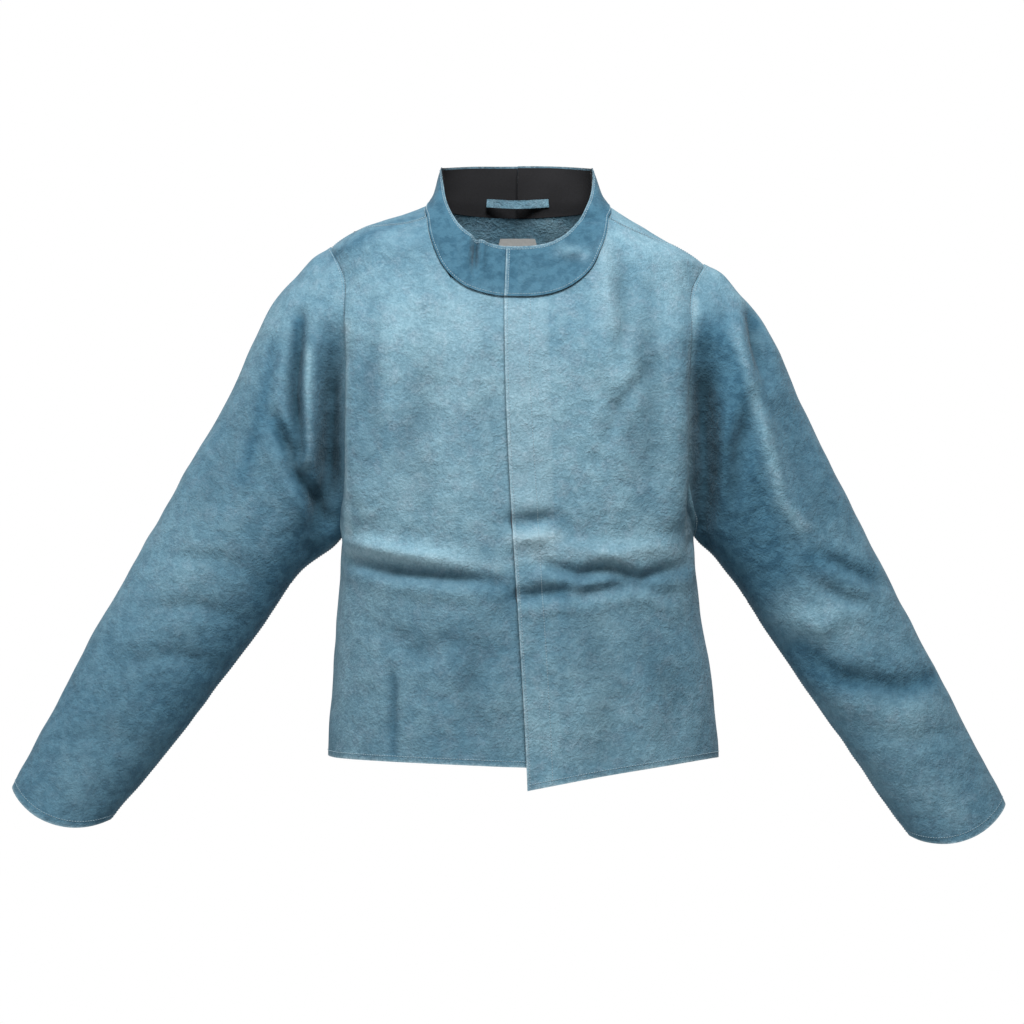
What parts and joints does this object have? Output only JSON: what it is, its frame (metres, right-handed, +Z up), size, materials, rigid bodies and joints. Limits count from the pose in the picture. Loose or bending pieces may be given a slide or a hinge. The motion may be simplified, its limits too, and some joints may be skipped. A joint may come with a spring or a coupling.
{
  "type": "leather welding jacket",
  "caption": "Stand-collar split-leather welding jacket with lapped tape-closed front, set-in two-piece sleeves and open cuffs.",
  "frame": {"origin": "middle of the neck opening, level with the points where the shoulder seams meet the collar", "axes": "+X towards the wearer's left sleeve, +Y towards the back, +Z up"},
  "size_m": [1.2102, 0.239, 0.8188],
  "materials": {
    "leather": "blue-grey split leather with a short suede nap",
    "lining": "plain dark woven cotton",
    "tape": "hook and loop tape",
    "label": "plain woven label, blank"
  },
  "bodies": {
    "torso": {"back_panel": "leather", "size_label": "label", "hanger_loop": "leather", "left_front_side_panel": "leather", "left_front_fold_strip": "leather", "left_collar_fold_strip": "leather", "left_collar_lining_fold_strip": "lining", "left_collar_back": "leather", "left_collar_lining_back": "lining", "left_sleeve_top_cap": "leather", "left_sleeve_under_cap": "leather", "right_front_side_panel": "leather", "right_front_fold_strip": "leather", "right_collar_fold_strip": "leather", "right_collar_lining_fold_strip": "lining", "right_collar_back": "leather", "right_collar_lining_back": "lining", "right_sleeve_top_cap": "leather", "right_sleeve_under_cap": "leather"},
    "left_front": {"left_front_opening_panel": "leather", "left_front_facing": "leather", "left_front_loop_tape": "tape", "left_collar_front": "leather", "left_collar_lining_front": "lining", "left_collar_loop_tape": "tape"},
    "left_upper_sleeve": {"left_sleeve_top_upper": "leather", "left_sleeve_under_upper": "leather", "left_sleeve_top_elbow": "leather", "left_sleeve_under_elbow": "leather"},
    "left_forearm": {"left_sleeve_top_forearm": "leather", "left_sleeve_under_forearm": "leather"},
    "right_front": {"right_front_opening_panel": "leather", "right_front_facing": "leather", "right_front_hook_tape": "tape", "right_collar_front": "leather", "right_collar_lining_front": "lining", "right_collar_hook_tape": "tape"},
    "right_upper_sleeve": {"right_sleeve_top_upper": "leather", "right_sleeve_under_upper": "leather", "right_sleeve_top_elbow": "leather", "right_sleeve_under_elbow": "leather"},
    "right_forearm": {"right_sleeve_top_forearm": "leather", "right_sleeve_under_forearm": "leather"}
  },
  "joints": [
    {"name": "left_front_open", "type": "hinge", "parent": "torso", "child": "left_front", "pos_m": [0.08, -0.075, -0.06], "axis": [-0.0683, 0.0699, 0.9952], "range_deg": [0, 100], "deforming": ["left_front_fold_strip", "left_collar_fold_strip", "left_collar_lining_fold_strip"]},
    {"name": "left_shoulder_swing", "type": "hinge", "parent": "torso", "child": "left_upper_sleeve", "pos_m": [0.24, 0, -0.232], "axis": [-1, 0, 0], "range_deg": [-15, 45], "deforming": ["left_sleeve_top_cap", "left_sleeve_under_cap"]},
    {"name": "left_elbow_bend", "type": "hinge", "parent": "left_upper_sleeve", "child": "left_forearm", "pos_m": [0.384, 0, -0.479], "axis": [-0.8541, 0, -0.5201], "range_deg": [0, 90], "deforming": ["left_sleeve_top_elbow", "left_sleeve_under_elbow"]},
    {"name": "right_front_open", "type": "hinge", "parent": "torso", "child": "right_front", "pos_m": [-0.08, -0.075, -0.06], "axis": [0.0683, 0.0699, 0.9952], "range_deg": [-30, 0], "deforming": ["right_front_fold_strip", "right_collar_fold_strip", "right_collar_lining_fold_strip"]},
    {"name": "right_shoulder_swing", "type": "hinge", "parent": "torso", "child": "right_upper_sleeve", "pos_m": [-0.24, 0, -0.232], "axis": [-1, 0, 0], "range_deg": [-15, 45], "deforming": ["right_sleeve_top_cap", "right_sleeve_under_cap"]},
    {"name": "right_elbow_bend", "type": "hinge", "parent": "right_upper_sleeve", "child": "right_forearm", "pos_m": [-0.384, 0, -0.479], "axis": [-0.8541, 0, 0.5201], "range_deg": [0, 90], "deforming": ["right_sleeve_top_elbow", "right_sleeve_under_elbow"]}
  ],
  "couplings": [
    {"joint": "right_front_open", "follows": "left_front_open", "ratio": -0.3}
  ]
}
